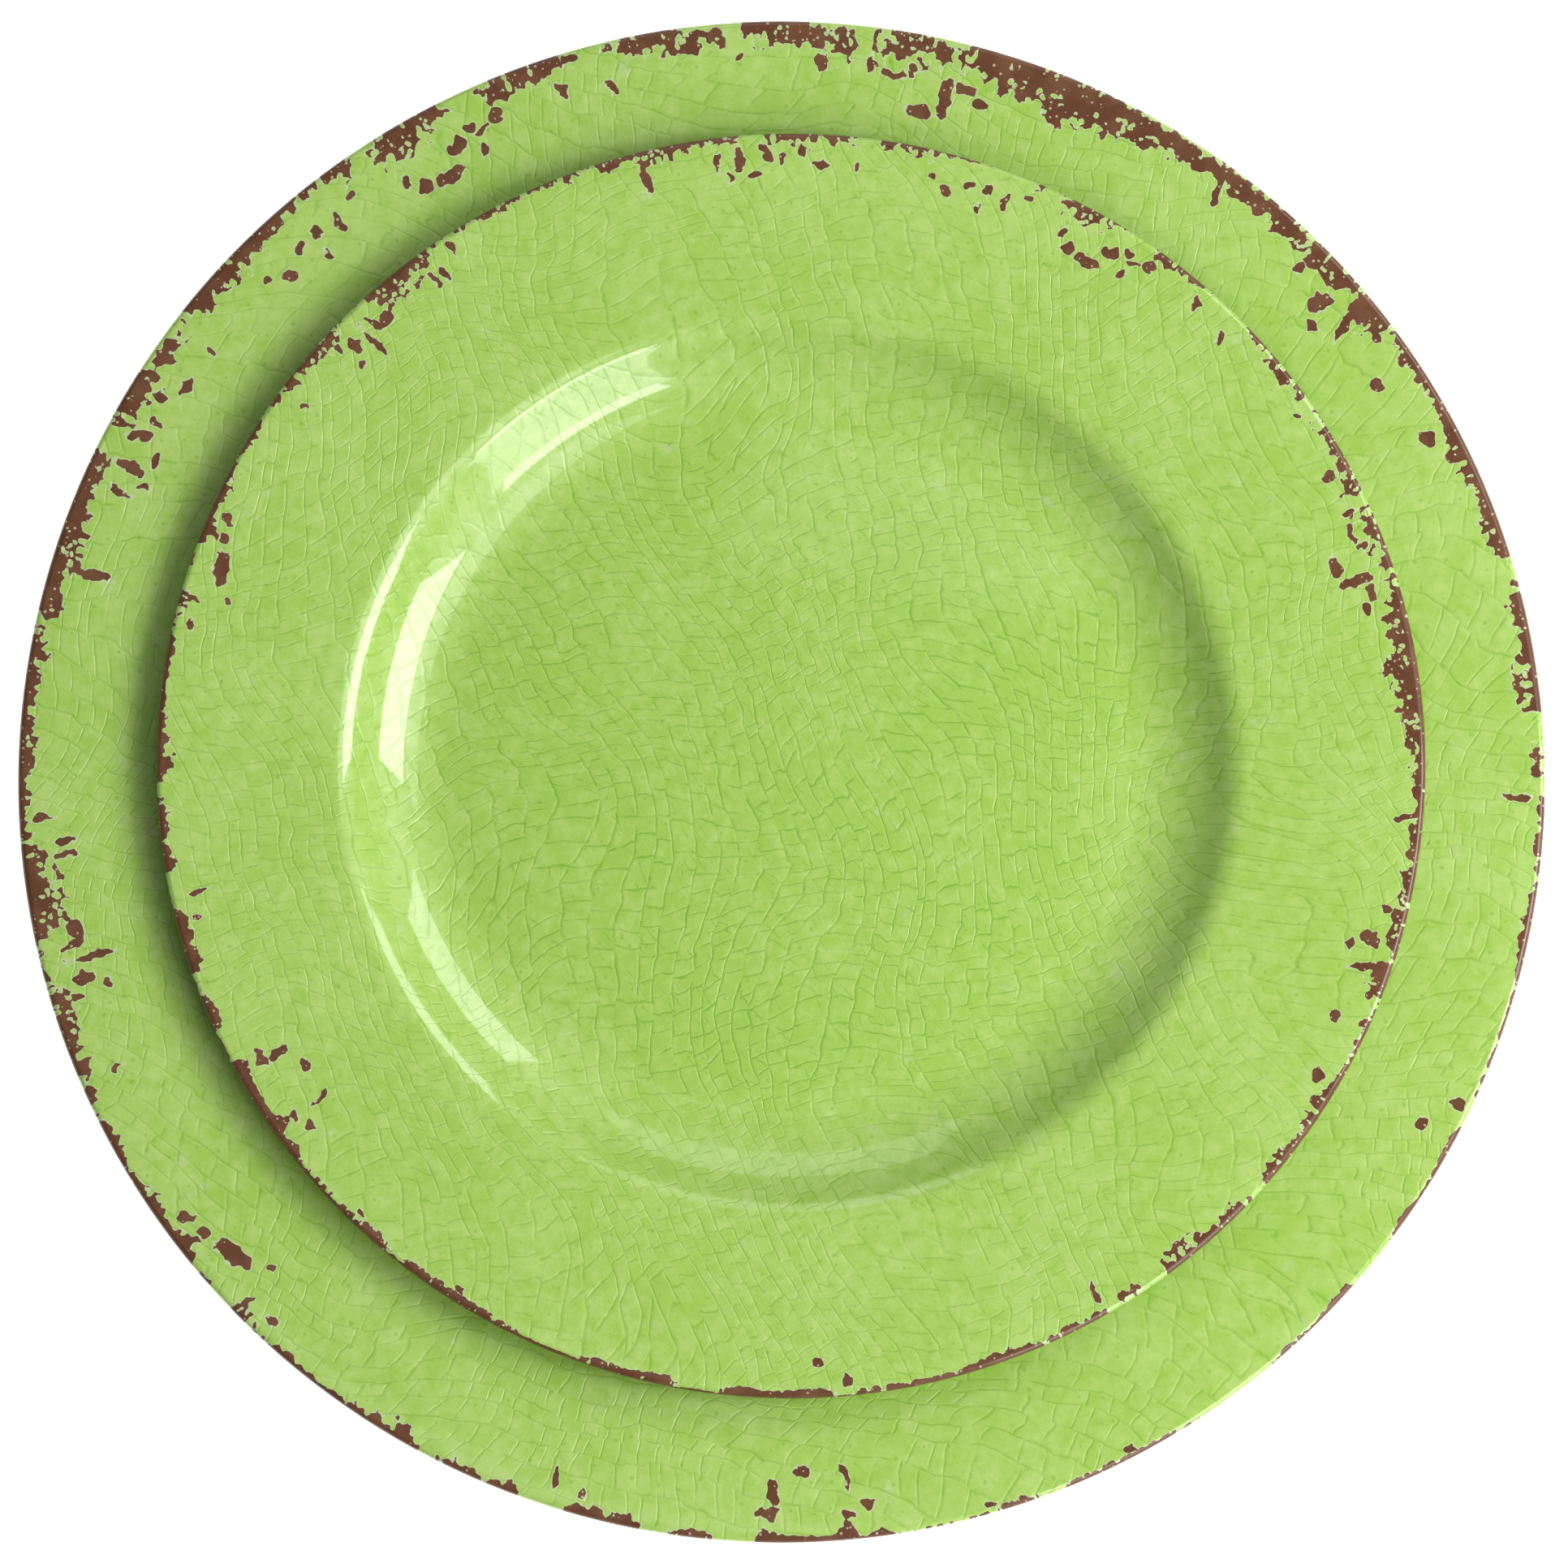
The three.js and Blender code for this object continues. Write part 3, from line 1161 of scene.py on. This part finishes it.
def make_camera(studio):
    """The camera, almost overhead."""
    camera = bpy.data.cameras.new("camera")
    camera.lens = camera.sensor_width * studio.distance / studio.view_width
    aim = rim_centre() + Vector((studio.aim_x, -studio.aim_y, 0))
    where = aim + studio.distance * direction(-QUARTER_TURN, studio.elevation)
    bpy.context.scene.camera = stage_piece("camera", camera, where, aim)


def make_soft_box(studio, name, azimuth, overhead, width, height, radiance, distances):
    """One soft box, of a size given in degrees as seen from the plates."""
    overhead = math.radians(overhead)
    middle = rim_centre()
    away = studio.light_distance * distances
    where = middle + away * direction(math.radians(azimuth), QUARTER_TURN - overhead)
    light = bpy.data.lights.new(name, "AREA")
    light.shape = "RECTANGLE"
    light.size = 2 * away * math.sin(overhead) * math.tan(math.radians(width) / 2)
    light.size_y = 2 * away * math.tan(math.radians(height) / 2)
    light.energy = studio.brightness * radiance * math.pi * light.size * light.size_y
    box = stage_piece(name, light, where, middle)
    box.visible_camera = False


def make_floor(studio):
    """A plain white floor, which glows a little so that shadows on it stay light."""
    bm = bmesh.new()
    bmesh.ops.create_circle(
        bm, cap_ends=True, radius=studio.floor_size, segments=FLOOR_SEGMENTS
    )
    bmesh.ops.translate(bm, verts=bm.verts, vec=(0, 0, -FLOOR_DROP))
    mesh = bpy.data.meshes.new("floor")
    bm.to_mesh(mesh)
    bm.free()
    sh = Shader("floor_white")
    white = sh.node(
        "ShaderNodeBsdfPrincipled",
        inputs={
            "Base Color": (0.9, 0.9, 0.9, 1),
            "Roughness": 0.9,
            "Emission Color": (1, 1, 1, 1),
            "Emission Strength": FLOOR_GLOW,
        },
    )
    sh.node("ShaderNodeOutputMaterial", inputs={0: white.outputs[0]})
    mesh.materials.append(sh.material)
    stage_piece("floor", mesh, Vector((0, 0, 0)))


def make_room(studio):
    """A pale room: bright to look at, and dim as a light."""
    world = bpy.data.worlds.new("room")
    bpy.context.scene.world = world
    world.use_nodes = True
    tree = world.node_tree
    tree.nodes.clear()
    dim = tree.nodes.new("ShaderNodeBackground")
    dim.inputs["Strength"].default_value = studio.ambient
    bright = tree.nodes.new("ShaderNodeBackground")
    seen = tree.nodes.new("ShaderNodeLightPath")
    mixed = tree.nodes.new("ShaderNodeMixShader")
    out = tree.nodes.new("ShaderNodeOutputWorld")
    for background in (dim, bright):
        background.inputs["Color"].default_value = (1, 1, 1, 1)
    tree.links.new(seen.outputs["Is Camera Ray"], mixed.inputs[0])
    tree.links.new(dim.outputs[0], mixed.inputs[1])
    tree.links.new(bright.outputs[0], mixed.inputs[2])
    tree.links.new(mixed.outputs[0], out.inputs[0])


# ---------------------------------------------------------------- add-on


class PLATES_OT_dinner_plate(Operator):
    """Makes the glazed dinner plate"""

    bl_idname = "plates.dinner_plate"
    bl_label = "Dinner Plate"

    def execute(self, context):
        make_plate("dinner_plate", context.scene.plates.dinner)
        return {"FINISHED"}


class PLATES_OT_salad_plate(Operator):
    """Makes the glazed salad plate"""

    bl_idname = "plates.salad_plate"
    bl_label = "Salad Plate"

    def execute(self, context):
        make_plate("salad_plate", context.scene.plates.salad)
        return {"FINISHED"}


class PLATES_OT_stage(Operator):
    """Makes the camera, the soft boxes, the floor and the room"""

    bl_idname = "plates.stage"
    bl_label = "Studio"

    def execute(self, context):
        studio = context.scene.plates.studio
        make_camera(studio)
        for box in SOFT_BOXES:
            make_soft_box(studio, *box)
        make_floor(studio)
        make_room(studio)
        context.scene.view_settings.view_transform = "Standard"
        return {"FINISHED"}


OPERATORS = (PLATES_OT_dinner_plate, PLATES_OT_salad_plate, PLATES_OT_stage)


class PLATES_PT_panel(Panel):
    """The plates' settings, and the buttons that make them"""

    bl_idname = "PLATES_PT_panel"
    bl_label = "Plates"
    bl_space_type = "VIEW_3D"
    bl_region_type = "UI"
    bl_category = "Plates"

    def draw(self, context):
        settings = context.scene.plates
        for group_name in ("shape", "dinner", "salad", "glaze", "studio"):
            group = getattr(settings, group_name)
            box = self.layout.box()
            box.label(text=group_name.title())
            for setting in group.bl_rna.properties.keys():
                if setting not in ("rna_type", "name"):
                    box.prop(group, setting)
        for operator in OPERATORS:
            self.layout.operator(operator.bl_idname)


CLASSES = (
    PlateShape,
    DinnerPlateSettings,
    SaladPlateSettings,
    GlazeSettings,
    StudioSettings,
    PlateSettings,
    *OPERATORS,
    PLATES_PT_panel,
)


def register():
    for cls in CLASSES:
        bpy.utils.register_class(cls)
    bpy.types.Scene.plates = PointerProperty(type=PlateSettings)


def unregister():
    del bpy.types.Scene.plates
    for cls in reversed(CLASSES):
        bpy.utils.unregister_class(cls)


def main():
    register()
    bpy.ops.plates.dinner_plate()
    bpy.ops.plates.salad_plate()
    bpy.ops.plates.stage()


if __name__ == "__main__":
    main()
